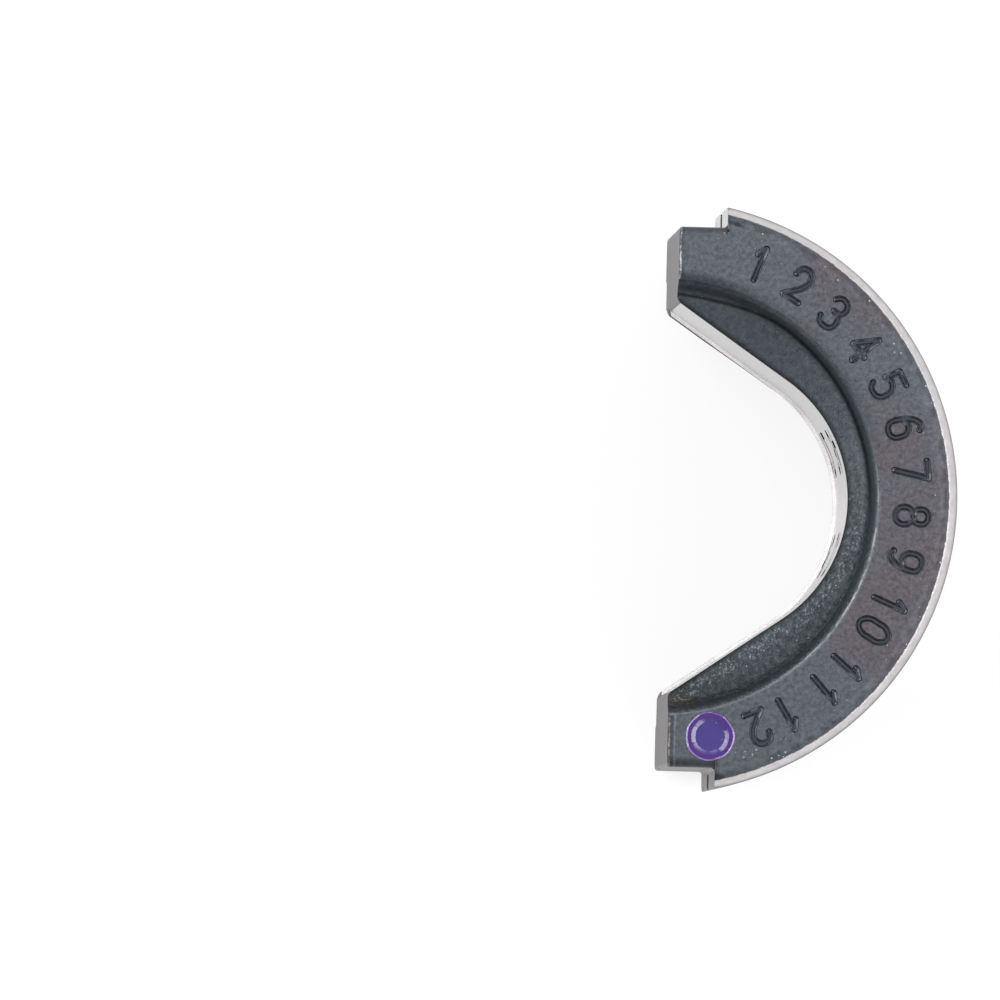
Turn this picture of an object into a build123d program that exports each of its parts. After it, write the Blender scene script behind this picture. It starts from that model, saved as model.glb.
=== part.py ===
from build123d import *
from math import cos, radians, sin, tan
import os

# Crimping die half, in millimetres
# The Z axis is the axis of the round nest that the die sits in, the die stands on its
# plain end at Z = 0, and its mouth opens towards -X

# Round back and its end faces
nest_radius = 21.1
die_length = 33.4
end_round_radius = 1.6

# Retaining groove round the back, half way along
groove_width = 3.67
groove_depth = 1.14
groove_lip_chamfer = 0.3
groove_root_chamfer = 0.2

# Lands that meet the other half, and the ledges beside them
land_setback = 0.87
ledge_inset = 1.9
ledge_depth = 3.4
ledge_corner_radius = 0.9
ledge_root_radius = 0.25
land_edge_chamfer = 0.2

# Crimp profile: a round floor with a straight wing tangent to each side of it
crimp_depth = 12.45
crimp_radius = 10.26
wing_angle = 34.5

# How far the cuts run past the lands and the end faces
mouth_clearance = 1.5
end_clearance = 1.0

# Dished recess in the marked end, where the colour dot is
marked_ring_width = 5.8
marked_recess_depth = 2.16
marked_recess_draft = 0.5
marked_floor_slope = 19.0

# Dished recess in the plain end, with a lead-in flare round the crimp floor
plain_ring_width = 4.9
plain_recess_depth = 2.16
plain_recess_draft = 0.3
plain_floor_slope = 0.0
flare_length = 2.1
flare_radius = 11.93

# Broken edge at the rim of both recesses, and the bevel at their roots
recess_rim_chamfer = 0.3
recess_root_chamfer = 0.4

# Unmachined lip behind the flare and the relief groove where the crimp floor starts
lip_width = 0.85
lip_height = 0.2
relief_width = 1.25
relief_depth = 0.12

# Colour dot: enamel in a drilled spot, lapped over its rim
dot_inset = 3.7
dot_angle = -77.1
spot_radius = 1.3
spot_depth = 0.45
dot_radius = 1.75
dot_rim_height = 0.12
dot_rim_chamfer = 0.05
dot_dish_depth = 0.24
dot_dish_radius = 1.0

# Places worked out from the sizes above
shoulder_x = land_setback + ledge_depth
ledge_half_width = nest_radius - ledge_inset
groove_floor = nest_radius - groove_depth
arc_x = land_setback + crimp_depth - crimp_radius
mouth_x = land_setback - mouth_clearance
lip_start = plain_recess_depth + flare_length
crimp_start = lip_start + lip_width
dot_x = (nest_radius - dot_inset) * cos(radians(dot_angle))
dot_y = (nest_radius - dot_inset) * sin(radians(dot_angle))


# Region inside the crimp profile, grown outwards by an amount, at a height
def crimp_outline(growth, height):
    radius = crimp_radius + growth
    wing = radians(wing_angle)
    tangent_x = arc_x + radius * sin(wing)
    tangent_y = radius * cos(wing)
    mouth_y = tangent_y + (tangent_x - mouth_x) * tan(wing)
    with BuildSketch(Plane.XY.offset(height)) as outline:
        with BuildLine():
            ThreePointArc((tangent_x, -tangent_y), (arc_x + radius, 0), (tangent_x, tangent_y))
            Polyline(
                (tangent_x, tangent_y), (mouth_x, mouth_y), (mouth_x, -mouth_y), (tangent_x, -tangent_y)
            )
        make_face()
    return outline.sketch


# Half section of a dished end recess, in the XZ plane, with its rim and root bevelled
def recess_section(end_z, inward, ring_width, depth, draft, floor_slope):
    rim_radius = nest_radius - ring_width
    wall_foot = rim_radius - draft
    outside_z = end_z - inward * end_clearance
    root_z = end_z + inward * depth
    centre_z = root_z + inward * wall_foot * tan(radians(floor_slope))
    face_x = rim_radius + 2 * recess_rim_chamfer
    with BuildSketch(Plane.XZ) as section:
        with BuildLine():
            Polyline(
                (0, outside_z),
                (face_x, outside_z),
                (face_x, end_z),
                (rim_radius, end_z),
                (wall_foot, root_z),
                (0, centre_z),
                close=True,
            )
        make_face()
        chamfer(section.vertices().sort_by_distance((rim_radius, end_z))[0], recess_rim_chamfer)
        chamfer(section.vertices().sort_by_distance((wall_foot, root_z))[0], recess_root_chamfer)
    return section.sketch


# Half section of the turned blank with its rounded ends
with BuildSketch(Plane.XZ) as turned_section:
    with Locations((nest_radius / 2, die_length / 2)):
        Rectangle(nest_radius, die_length)
    fillet(turned_section.vertices().group_by(Axis.X)[-1], end_round_radius)

# Half section of the retaining groove, with its lips and roots bevelled
with BuildSketch(Plane.XZ) as groove_section:
    with Locations((groove_floor + groove_width / 2, die_length / 2)):
        Rectangle(groove_width, groove_width)
    with Locations((nest_radius + groove_width / 2, die_length / 2)):
        Rectangle(groove_width, groove_width + 4 * groove_lip_chamfer)
    for wall_z in ((die_length - groove_width) / 2, (die_length + groove_width) / 2):
        chamfer(groove_section.vertices().sort_by_distance((nest_radius, wall_z))[0], groove_lip_chamfer)
        chamfer(groove_section.vertices().sort_by_distance((groove_floor, wall_z))[0], groove_root_chamfer)

# Face of the block that carries the lands
with BuildSketch(Plane.YZ.offset(land_setback)) as ledge_face:
    with Locations((0, die_length / 2)):
        RectangleRounded(2 * ledge_half_width, die_length, ledge_corner_radius)

# Section of the hollow root where each ledge meets its shoulder
with BuildSketch(Plane.XY.offset(ledge_corner_radius)) as ledge_root:
    with Locations((shoulder_x - ledge_root_radius / 2, ledge_half_width + ledge_root_radius / 2)):
        Rectangle(ledge_root_radius, ledge_root_radius)
    with Locations((shoulder_x - ledge_root_radius, ledge_half_width + ledge_root_radius)):
        Circle(ledge_root_radius, mode=Mode.SUBTRACT)
    mirror(about=Plane.XZ)

# Openings through the body: as forged, then as machined, then the relief groove
throat = crimp_outline(-lip_height, 0)
crimp_floor = crimp_outline(0, crimp_start)
relief_groove = crimp_outline(relief_depth, crimp_start)

# End recesses and the lead-in flare
marked_recess = recess_section(
    die_length, -1, marked_ring_width, marked_recess_depth, marked_recess_draft, marked_floor_slope
)
plain_recess = recess_section(
    0, 1, plain_ring_width, plain_recess_depth, plain_recess_draft, plain_floor_slope
)
with BuildSketch(Plane.XZ) as flare_section:
    with BuildLine():
        Polyline(
            (arc_x, plain_recess_depth),
            (arc_x + flare_radius, plain_recess_depth),
            (arc_x + crimp_radius - lip_height, lip_start),
            (arc_x, lip_start),
            close=True,
        )
    make_face()

# Die body, one piece of steel
with BuildPart() as die_body:
    # Turned back, cut off at the shoulders
    revolve(turned_section.sketch, axis=Axis.Z)
    split(bisect_by=Plane.YZ.offset(shoulder_x), keep=Keep.TOP)
    # Block of the lands with its front edges broken, and its roots at the shoulders
    extrude(ledge_face.sketch, amount=ledge_depth)
    chamfer(die_body.faces().sort_by(Axis.X)[0].edges(), land_edge_chamfer)
    extrude(ledge_root.sketch, amount=die_length - 2 * ledge_corner_radius)
    revolve(groove_section.sketch, axis=Axis.Z, mode=Mode.SUBTRACT)
    # Cavity
    extrude(throat, amount=die_length, mode=Mode.SUBTRACT)
    extrude(crimp_floor, amount=die_length - crimp_start, mode=Mode.SUBTRACT)
    extrude(relief_groove, amount=relief_width, mode=Mode.SUBTRACT)
    # End recesses and the flare
    revolve(marked_recess, axis=Axis.Z, mode=Mode.SUBTRACT)
    revolve(plain_recess, axis=Axis.Z, mode=Mode.SUBTRACT)
    revolve(flare_section.sketch, axis=Axis((arc_x, 0, 0), (0, 0, 1)), mode=Mode.SUBTRACT)
    # Drilled spot for the colour dot
    with Locations((dot_x, dot_y, die_length)):
        Hole(spot_radius, spot_depth)
die_body.part.label = "die_body"

# Colour dot, dished where the enamel sank into the spot
dot_plane = Plane((dot_x, dot_y, die_length), x_dir=(1, 0, 0), z_dir=(0, -1, 0))
with BuildPart() as colour_dot:
    with BuildSketch(dot_plane) as dot_section:
        with BuildLine():
            Polyline(
                (0, -spot_depth),
                (spot_radius, -spot_depth),
                (spot_radius, 0),
                (dot_radius, 0),
                (dot_radius, dot_rim_height),
                (spot_radius, dot_rim_height),
                (dot_dish_radius, dot_rim_height - dot_dish_depth),
                (0, dot_rim_height - dot_dish_depth),
                close=True,
            )
        make_face()
        chamfer(dot_section.vertices().sort_by_distance((dot_radius, dot_rim_height))[0], dot_rim_chamfer)
    revolve(axis=Axis((dot_x, dot_y, 0), (0, 0, 1)))
colour_dot.part.label = "colour_dot"

os.makedirs("parts", exist_ok=True)
export_step(die_body.part, "parts/die_body.step")
export_step(colour_dot.part, "parts/colour_dot.step")
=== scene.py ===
"""One half of a hydraulic crimping die, its colour dot, and a plain studio round it.

The file is laid out as a Blender add-on. Sizes that a user would change are in the
sidebar, in metres; the shapes are worked in millimetres and scaled once they are done.
"""

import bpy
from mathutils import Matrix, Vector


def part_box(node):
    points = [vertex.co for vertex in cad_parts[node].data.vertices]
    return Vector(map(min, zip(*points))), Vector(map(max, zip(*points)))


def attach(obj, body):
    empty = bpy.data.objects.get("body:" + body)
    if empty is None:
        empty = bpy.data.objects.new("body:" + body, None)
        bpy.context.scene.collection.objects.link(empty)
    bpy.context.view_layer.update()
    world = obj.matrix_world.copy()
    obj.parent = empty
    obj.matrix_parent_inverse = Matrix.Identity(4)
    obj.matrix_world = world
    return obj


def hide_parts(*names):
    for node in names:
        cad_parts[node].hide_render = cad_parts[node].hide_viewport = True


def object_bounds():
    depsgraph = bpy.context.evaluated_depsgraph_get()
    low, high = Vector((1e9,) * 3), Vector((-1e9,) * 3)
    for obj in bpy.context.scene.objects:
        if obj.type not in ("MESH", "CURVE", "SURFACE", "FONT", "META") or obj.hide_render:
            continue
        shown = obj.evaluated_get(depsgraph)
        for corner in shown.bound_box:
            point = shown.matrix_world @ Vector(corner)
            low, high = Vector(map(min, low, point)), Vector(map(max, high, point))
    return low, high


bl_info = {
    "name": "Crimping die half",
    "version": (1, 0, 0),
    "blender": (4, 5, 0),
    "location": "View3D > Sidebar > Crimping die",
    "description": "Builds one half of a crimping die with its stamped numbers and its colour dot",
    "category": "Object",
}

from math import cos, hypot, pi, radians, sin, tan
from types import SimpleNamespace

import bmesh
import bpy
from bpy.props import FloatProperty, FloatVectorProperty, PointerProperty, StringProperty
from mathutils import Matrix, Vector

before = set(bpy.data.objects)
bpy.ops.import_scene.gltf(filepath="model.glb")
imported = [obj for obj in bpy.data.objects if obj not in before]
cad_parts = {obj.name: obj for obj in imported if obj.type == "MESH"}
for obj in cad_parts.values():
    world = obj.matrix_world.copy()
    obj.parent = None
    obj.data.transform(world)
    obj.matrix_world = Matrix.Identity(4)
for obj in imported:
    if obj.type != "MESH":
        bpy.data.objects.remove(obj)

MM = 1000.0  # Millimetres in a metre
BODY_NODE = "die_body"
DOT_NODE = "colour_dot"
BODY_LOW, BODY_HIGH = (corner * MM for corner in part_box(BODY_NODE))
DOT_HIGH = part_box(DOT_NODE)[1] * MM
CAD_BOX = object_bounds()

# Finishes of the steel body, in the order of its material slots
TURNED_BACK, STAMPED_END, CAST_RECESS, LEAD_IN, CRIMP_BORE, GROUND_LAND, STAMPED_MARK = range(7)


def length(label, text, millimetres):
    """A size that the sidebar shows in metres, from its value in millimetres."""
    return FloatProperty(
        name=label, description=text, default=millimetres / MM, min=0.0, precision=5, unit="LENGTH"
    )


def angle(label, text, degrees, lowest=0.0, highest=pi / 2):
    """An angle that the sidebar shows in degrees."""
    return FloatProperty(
        name=label, description=text, default=radians(degrees), min=lowest, max=highest, unit="ROTATION"
    )


def colour(label, text, hex_code):
    """A colour property from the sRGB code of how it looks under plain light."""
    return FloatVectorProperty(
        name=label, description=text, subtype="COLOR", size=3, min=0.0, max=1.0,
        default=linear_from_hex(hex_code),
    )


def linear_from_hex(code):
    """Linear red, green and blue of a six-digit sRGB code."""
    parts = [int(code[i:i + 2], 16) / 255 for i in (0, 2, 4)]
    return tuple(p / 12.92 if p <= 0.04045 else ((p + 0.055) / 1.055) ** 2.4 for p in parts)


class DieSizes(bpy.types.PropertyGroup):
    """Sizes of the steel body."""

    nest_radius: length("Nest radius", "Radius of the round back", BODY_HIGH.x)
    die_length: length("Length", "Length of the die along the nest", BODY_HIGH.z)
    end_round: length("End rounding", "Radius between the round back and its end faces", 1.6)
    groove_width: length("Groove width", "Width of the retaining groove", 3.67)
    groove_depth: length("Groove depth", "Depth of the retaining groove", 1.14)
    land_setback: length("Land setback", "Distance of the lands from the nest axis", BODY_LOW.x)
    ledge_inset: length("Ledge inset", "How far the ledges stand in from the back", 1.9)
    ledge_depth: length("Ledge depth", "Height of the ledges over the shoulders", 3.4)
    ledge_corner: length("Ledge corner", "Radius of the ledges' corners", 0.9)
    crimp_depth: length("Crimp depth", "Depth of the crimp floor below the lands", 12.45)
    crimp_radius: length("Crimp radius", "Radius of the crimp floor", 10.26)
    wing_angle: angle("Wing angle", "Slope of the straight wings beside the crimp floor", 34.5)
    recess_depth: length("Recess depth", "Depth of both end recesses at their walls", 2.16)
    marked_ring: length("Marked ring", "Width of the end face that carries the numbers", 5.8)
    marked_slope: angle("Marked floor slope", "Slope of the dished floor behind the marked end", 19)
    plain_ring: length("Plain ring", "Width of the end face that the die stands on", 4.9)
    flare_length: length("Flare length", "Length of the lead-in flare", 2.1)
    flare_radius: length("Flare radius", "Radius of the flare at its mouth", 11.93)
    lip_width: length("Lip width", "Width of the unmachined lip behind the flare", 0.85)
    lip_height: length("Lip height", "Height of the unmachined lip over the crimp floor", 0.2)
    relief_width: length("Relief width", "Width of the relief groove behind the lip", 1.25)
    relief_depth: length("Relief depth", "Depth of the relief groove", 0.12)


class MarkSizes(bpy.types.PropertyGroup):
    """Sizes of the plain numbers stamped in the end face and engraved in the crimp floor."""

    ring_numbers: StringProperty(
        name="Ring numbers", description="Plain numbers round the marked end face",
        default="1 2 3 4 5 6 7 8 9 10 11 12",
    )
    floor_numbers: StringProperty(
        name="Floor numbers", description="Plain numbers that the crimp floor prints on a barrel",
        default="1234",
    )
    ring_radius: length("Ring radius", "Radius of the circle that the ring numbers stand on", 17.9)
    ring_height: length("Ring height", "Height of a ring number", 2.85)
    ring_width: length("Ring width", "Width of a ring number", 1.75)
    ring_stroke: length("Ring stroke", "Width of the strokes of the ring numbers", 0.52)
    floor_height: length("Floor height", "Height of a number in the crimp floor", 3.5)
    floor_width: length("Floor width", "Width of a number in the crimp floor", 3.0)
    floor_stroke: length("Floor stroke", "Width of the strokes in the crimp floor", 0.64)


class DotSizes(bpy.types.PropertyGroup):
    """Sizes of the enamel dot."""

    inset: length("Inset", "Distance of the dot's centre from the round back", 3.7)
    direction: angle("Direction", "Direction of the dot from the nest axis, from the X axis", -77.1, -pi, pi)
    spot_radius: length("Spot radius", "Radius of the drilled spot that holds the enamel", 1.3)
    spot_depth: length("Spot depth", "Depth of the drilled spot", 0.45)
    radius: length("Radius", "Radius of the enamel where it laps over the spot's rim", 1.745)
    height: length("Height", "Height of the enamel's rim over the end face", DOT_HIGH.z - BODY_HIGH.z)
    dish_depth: length("Dish depth", "Depth of the sunken middle below the rim", 0.24)


class DieColours(bpy.types.PropertyGroup):
    """Colours of the steel's finishes and of the enamel."""

    end_grey: colour("End face grey", "Cool grey of the stamped end face", "5b6066")
    end_plum: colour("End face plum", "Warmer grey that clouds the stamped end face", "5e5a5f")
    cast: colour("Cast grey", "Dark oxide of the unmachined recesses", "42474b")
    lead_in: colour("Lead-in grey", "Grey of the lead-in flare", "5f5e5e")
    # The bore colour is the oxide's brown tint and also the painted reflection along the middle of the crimp
    # floor
    bore: colour("Bore brown", "Brown tint of the oxide in the crimp floor", "7f7478")
    bore_dark: colour("Bore black", "Black streaks in the crimp floor", "373337")
    land: colour("Land grey", "Grey of the ground lands", "585458")
    land_brown: colour("Land brown", "Brown temper colour on the lands", "5e5655")
    land_blue: colour("Land blue", "Blue temper colour on the lands", "585d67")
    back: colour("Back black", "Dark red-brown oxide of the turned back", "483e42")
    ochre: colour("Ochre oxide", "Ochre line at the feet of the recess walls", "5e4c33")
    mark: colour("Mark black", "Oxide in the bottom of the numbers", "494c52")
    # Bare steel of real wear, also used for painted highlights and glints
    wear_and_highlight: colour("Worn steel", "Bare steel where edges are rubbed bright", "d2cecf")
    enamel: colour("Enamel", "Violet of the enamel dot", "3b2d75")
    enamel_rim: colour("Enamel rim", "Redder violet of the dot's rim", "3d1c70")
    # The edge colour is lighter violet enamel and also the dot's painted rim highlight
    enamel_edge: colour("Enamel edge", "Violet enamel where it is thin", "a58ac8")


class StageSettings(bpy.types.PropertyGroup):
    """The plain studio round the die."""

    floor_size: FloatProperty(
        name="Floor size", description="Side of the square floor", default=6.0, min=0.1, unit="LENGTH"
    )
    floor: colour("Floor", "Colour of the floor under the lamps", "909090")
    sky: FloatProperty(
        name="Sky light", description="Strength of the even light from all round", default=0.25, min=0.0
    )


# How far below the surface the middle of a number's round stroke lies, in millimetres
RING_SINK = 0.03
FLOOR_SINK = 0.1

# Edges that turn by more than this stay sharp in the shading
SHARP_TURN = radians(32)

# Lamps round the die: direction in degrees from the X axis, height of the soft box in
# metres, and radiance where white is 1
LAMPS = (
    (-50, 0.18, 8.0), (-8, 0.24, 9.0), (34, 0.18, 8.0), (68, 0.15, 4.0), (106, 0.15, 4.0),
    (145, 0.3, 8.0), (183, 0.3, 8.0), (-95, 0.12, 2.0),
)
LAMP_WIDTH = 0.8
LAMP_DISTANCE = 1.1
LAMP_RISE = radians(30)

# Share of white that the floor shows the camera by itself
FLOOR_GLOW = 0.78

# What the camera looks at, where it stands over the marked end and how far it is rolled,
# and the width that the picture spans there; lengths in metres
VIEW_CENTRE = (-0.01143, -0.00056)
CAMERA_PLACE = (-0.05592, -0.03947)
CAMERA_HEIGHT = 2.1
CAMERA_ROLL = radians(1.39)
VIEW_WIDTH = 0.07097

# Centre lines of the digits' strokes, in hundredths of a digit's width and height, then as
# shares of them; a stroke that ends where it starts is a closed loop
HUNDREDTHS = {
    "0": [[(50, 100), (93, 82), (100, 50), (93, 18), (50, 0), (7, 18), (0, 50), (7, 82), (50, 100)]],
    "1": [[(56, 0), (56, 100)], [(56, 100), (24, 76)]],
    "2": [
        [(3, 74), (17, 94), (50, 100), (86, 91), (97, 70), (80, 47), (40, 22), (0, 0)],
        [(0, 0), (100, 0)],
    ],
    "3": [
        [(5, 85), (24, 97), (50, 100), (83, 92), (94, 76), (80, 59), (42, 54)],
        [(42, 54), (84, 47), (100, 27), (85, 6), (50, 0), (20, 3), (0, 17)],
    ],
    "4": [[(72, 0), (72, 100)], [(72, 100), (0, 33)], [(0, 33), (100, 33)]],
    "5": [
        [(94, 100), (12, 100)],
        [(12, 100), (5, 55)],
        [(5, 55), (28, 63), (55, 63), (88, 53), (100, 31), (87, 8), (50, 0), (20, 2), (0, 13)],
    ],
    "6": [
        [(90, 93), (66, 100), (34, 90), (10, 64), (0, 31)],
        [(0, 31), (13, 7), (50, 0), (87, 7), (100, 31), (87, 54), (50, 62), (13, 54), (0, 31)],
    ],
    "7": [[(0, 100), (100, 100)], [(100, 100), (34, 0)]],
    "8": [
        [(50, 100), (84, 93), (93, 77), (82, 60), (50, 54), (18, 60), (7, 77), (16, 93), (50, 100)],
        [(50, 54), (86, 46), (100, 27), (86, 7), (50, 0), (14, 7), (0, 27), (14, 46), (50, 54)],
    ],
}
DIGITS = {
    name: [[(x / 100, y / 100) for x, y in line] for line in lines]
    for name, lines in HUNDREDTHS.items()
}
DIGITS["9"] = [[(1 - x, 1 - y) for x, y in line] for line in DIGITS["6"]]


def in_millimetres(group):
    """The sizes of a property group, lengths in millimetres and angles in radians."""
    values = SimpleNamespace()
    for key, kind in group.bl_rna.properties.items():
        if key not in ("rna_type", "name"):
            value = getattr(group, key)
            setattr(values, key, value * MM if kind.unit == "LENGTH" else value)
    return values


def die_plan(group):
    """The sizes of the steel body, and the places that follow from them."""
    s = in_millimetres(group)
    s.shoulder = s.land_setback + s.ledge_depth
    s.ledge_half = s.nest_radius - s.ledge_inset
    s.arc_x = s.land_setback + s.crimp_depth - s.crimp_radius
    s.lip_start = s.recess_depth + s.flare_length
    s.floor_start = s.lip_start + s.lip_width
    s.relief_end = s.floor_start + s.relief_width
    s.marked_rim = s.nest_radius - s.marked_ring
    s.plain_rim = s.nest_radius - s.plain_ring
    return s


def object_from(mesh, name):
    """A new object on a mesh, linked to the scene."""
    obj = bpy.data.objects.new(name, mesh)
    bpy.context.scene.collection.objects.link(obj)
    return obj


def object_from_bmesh(bm, name):
    """A new object that takes over a bmesh."""
    mesh = bpy.data.meshes.new(name)
    bm.to_mesh(mesh)
    bm.free()
    return object_from(mesh, name)


def drop(obj):
    """Removes a scratch object with its data."""
    data = obj.data
    bpy.data.objects.remove(obj)
    if isinstance(data, bpy.types.Curve):
        bpy.data.curves.remove(data)
    else:
        bpy.data.meshes.remove(data)


def combine(target, tool, operation):
    """Joins a scratch object to another, or cuts it from it. The tool is used up."""
    modifier = target.modifiers.new("combine", "BOOLEAN")
    modifier.operation = operation
    modifier.solver = "MANIFOLD"
    modifier.object = tool
    graph = bpy.context.evaluated_depsgraph_get()
    result = bpy.data.meshes.new_from_object(target.evaluated_get(graph))
    target.modifiers.clear()
    if len(result.vertices) == len(target.data.vertices):
        raise RuntimeError(f"{tool.name} didn't change {target.name}: {operation} failed")
    old = target.data
    target.data = result
    bpy.data.meshes.remove(old)
    drop(tool)


def wire(points, lying=False):
    """A bmesh with one open chain of edges, in the XZ plane or lying in XY, and its vertices in order."""
    bm = bmesh.new()
    verts = [bm.verts.new((a, b, 0) if lying else (a, 0, b)) for a, b in points]
    for pair in zip(verts, verts[1:]):
        bm.edges.new(pair)
    return bm, verts


def bevel(bm, geom, width, steps, affect="EDGES"):
    """Rounds edges, or the corners of a chain of edges, by a width along the sides next to them."""
    bmesh.ops.bevel(
        bm, geom=geom, offset=width, offset_type="OFFSET", segments=steps, profile=0.5,
        affect=affect, material=-1, clamp_overlap=False,
    )


def round_corners(bm, verts, corners):
    """Rounds corners of a chain, each given by its number in the chain, its radius and its steps."""
    for i, radius, steps in corners:
        bevel(bm, [verts[i]], radius, steps, "VERTICES")


def grow(bm, face):
    """Extrudes a face where it is, and returns the new one and its corners, which can then move."""
    grown = bmesh.ops.extrude_face_region(bm, geom=[face] + face.edges[:])["geom"]
    face = next(g for g in grown if isinstance(g, bmesh.types.BMFace))
    return face, face.verts[:]


def turn(bm, steps, start=0.0):
    """Spins a half section all the way round the Z axis, from a start angle, into a closed shape."""
    bmesh.ops.rotate(bm, verts=bm.verts, matrix=Matrix.Rotation(start, 3, "Z"))
    bmesh.ops.spin(
        bm, geom=bm.verts[:] + bm.edges[:], axis=(0, 0, 1), angle=2 * pi, steps=steps, use_merge=True
    )
    bmesh.ops.remove_doubles(bm, verts=bm.verts, dist=1e-4)
    bmesh.ops.recalc_face_normals(bm, faces=bm.faces)


def turned_blank(s):
    """The turned bar with its rounded ends and its groove, cut off flat at the shoulders."""
    r, z = s.nest_radius, s.die_length
    low, high = (z - s.groove_width) / 2, (z + s.groove_width) / 2
    floor = r - s.groove_depth
    rounding, guard = s.end_round, 0.12
    lip, root, broken = 0.28, 0.18, 0.09
    chain = [
        (0, 0), (r - rounding - guard, 0), (r, 0), (r, rounding + guard),
        (r, low - lip - guard), (r, low), (floor, low), (floor, low + root + guard),
        (floor, high - root - guard), (floor, high), (r, high), (r, high + lip + guard),
        (r, z - rounding - guard), (r, z), (r - rounding - guard, z), (0, z),
    ]
    bm, verts = wire(chain)
    round_corners(bm, verts, (
        (2, rounding, 12), (5, lip, 4), (6, root, 3), (9, root, 3), (10, lip, 4), (13, rounding, 12),
    ))
    turn(bm, 360, start=radians(0.25))
    bmesh.ops.bisect_plane(
        bm, geom=bm.verts[:] + bm.edges[:] + bm.faces[:], dist=1e-5, plane_co=(s.shoulder, 0, 0),
        plane_no=(1, 0, 0), clear_inner=True,
    )
    rim = [e for e in bm.edges if e.is_boundary]
    bmesh.ops.holes_fill(bm, edges=rim, sides=0)
    bmesh.ops.recalc_face_normals(bm, faces=bm.faces)
    bevel(bm, rim, broken, 2)
    return object_from_bmesh(bm, "turned_blank")


def ledge_block(s):
    """The block that carries both lands, with rounded corners and broken front edges."""
    front, back, broken = s.land_setback, s.shoulder + 1.5, 0.2
    bm = bmesh.new()
    bmesh.ops.create_cube(bm, size=1.0)
    bmesh.ops.scale(bm, vec=(back - front, 2 * s.ledge_half, s.die_length), verts=bm.verts)
    bmesh.ops.translate(bm, vec=((front + back) / 2, 0, s.die_length / 2), verts=bm.verts)
    corners = [e for e in bm.edges if abs(e.verts[0].co.x - e.verts[1].co.x) > 1]
    bevel(bm, corners, s.ledge_corner, 10)
    rim = [e for e in bm.edges if all(abs(v.co.x - front) < 1e-4 for v in e.verts)]
    bevel(bm, rim, broken, 3)
    return object_from_bmesh(bm, "ledge_block")


def ledge_root(s, side):
    """The strip that makes the hollow root between a ledge and its shoulder."""
    x, y, radius, past = s.shoulder, s.ledge_half, 0.25, 0.3
    reach = radius + 0.1
    bm, verts = wire([
        (x + past, y - past), (x - reach, y - past), (x - reach, y), (x, y), (x, y + reach),
        (x + past, y + reach),
    ], lying=True)
    bm.edges.new((verts[-1], verts[0]))
    round_corners(bm, verts, [(3, radius, 5)])
    face = bmesh.ops.contextual_create(bm, geom=bm.edges[:])["faces"][0]
    _, top = grow(bm, face)
    bmesh.ops.translate(bm, vec=(0, 0, s.die_length - 2 * s.ledge_corner), verts=top)
    bmesh.ops.translate(bm, vec=(0, 0, s.ledge_corner), verts=bm.verts)
    bmesh.ops.scale(bm, vec=(1, side, 1), verts=bm.verts)
    bmesh.ops.recalc_face_normals(bm, faces=bm.faces)
    return object_from_bmesh(bm, "ledge_root")


def loose_ends(bm):
    """The two ends of a chain of edges, the one at the lower Y first."""
    return sorted((v for v in bm.verts if len(v.link_edges) == 1), key=lambda v: v.co.y)


def crimp_tool(s):
    """The cutter of the crimp profile: forged throat, relief groove and machined floor in one."""
    radius, wing, land = s.crimp_radius, s.wing_angle, s.land_setback
    run, edge, guard = 1.5, 0.3, 0.25
    tangent_x, tangent_y = s.arc_x + radius * sin(wing), radius * cos(wing)
    mouth_y = tangent_y + (tangent_x - land) * tan(wing)
    bm = bmesh.new()
    bm.verts.new((tangent_x, -tangent_y, 0))
    bmesh.ops.spin(
        bm, geom=bm.verts[:], cent=(s.arc_x, 0, 0), axis=(0, 0, 1), angle=pi - 2 * wing, steps=96
    )
    corners = []
    for last, side in zip(loose_ends(bm), (-1, 1)):
        for x, y in (
            (tangent_x - guard * cos(wing), tangent_y + guard * sin(wing)),
            (land, mouth_y), (land, mouth_y + edge), (land - run, mouth_y + edge),
        ):
            vert = bm.verts.new((x, side * y, 0))
            bm.edges.new((last, vert))
            if (x, y) == (land, mouth_y):
                corners.append(vert)
            last = vert
    bm.edges.new(loose_ends(bm))
    round_corners(bm, corners, ((0, edge, 4), (1, edge, 4)))
    bmesh.ops.remove_doubles(bm, verts=bm.verts, dist=1e-3)
    face = bmesh.ops.contextual_create(bm, geom=bm.edges[:])["faces"][0]
    lip = (radius - s.lip_height) / radius
    relief = (radius + s.relief_depth) / radius
    about = Matrix.Translation((-s.arc_x, 0, 0))
    bmesh.ops.scale(bm, vec=(lip, lip, 1), space=about, verts=bm.verts)
    bmesh.ops.translate(bm, vec=(0, 0, -1), verts=bm.verts)
    height, size = -1.0, lip
    for z, wanted in (
        (s.floor_start - 0.1, lip), (s.floor_start, relief), (s.floor_start + 0.12, relief),
        (s.relief_end - 0.1, relief), (s.relief_end, 1.0), (s.relief_end + 0.1, 1.0),
        (s.die_length + 1, 1.0),
    ):
        face, ring = grow(bm, face)
        bmesh.ops.translate(bm, vec=(0, 0, z - height), verts=ring)
        bmesh.ops.scale(bm, vec=(wanted / size, wanted / size, 1), space=about, verts=ring)
        height, size = z, wanted
    bmesh.ops.recalc_face_normals(bm, faces=bm.faces)
    return object_from_bmesh(bm, "crimp_tool")


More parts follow.
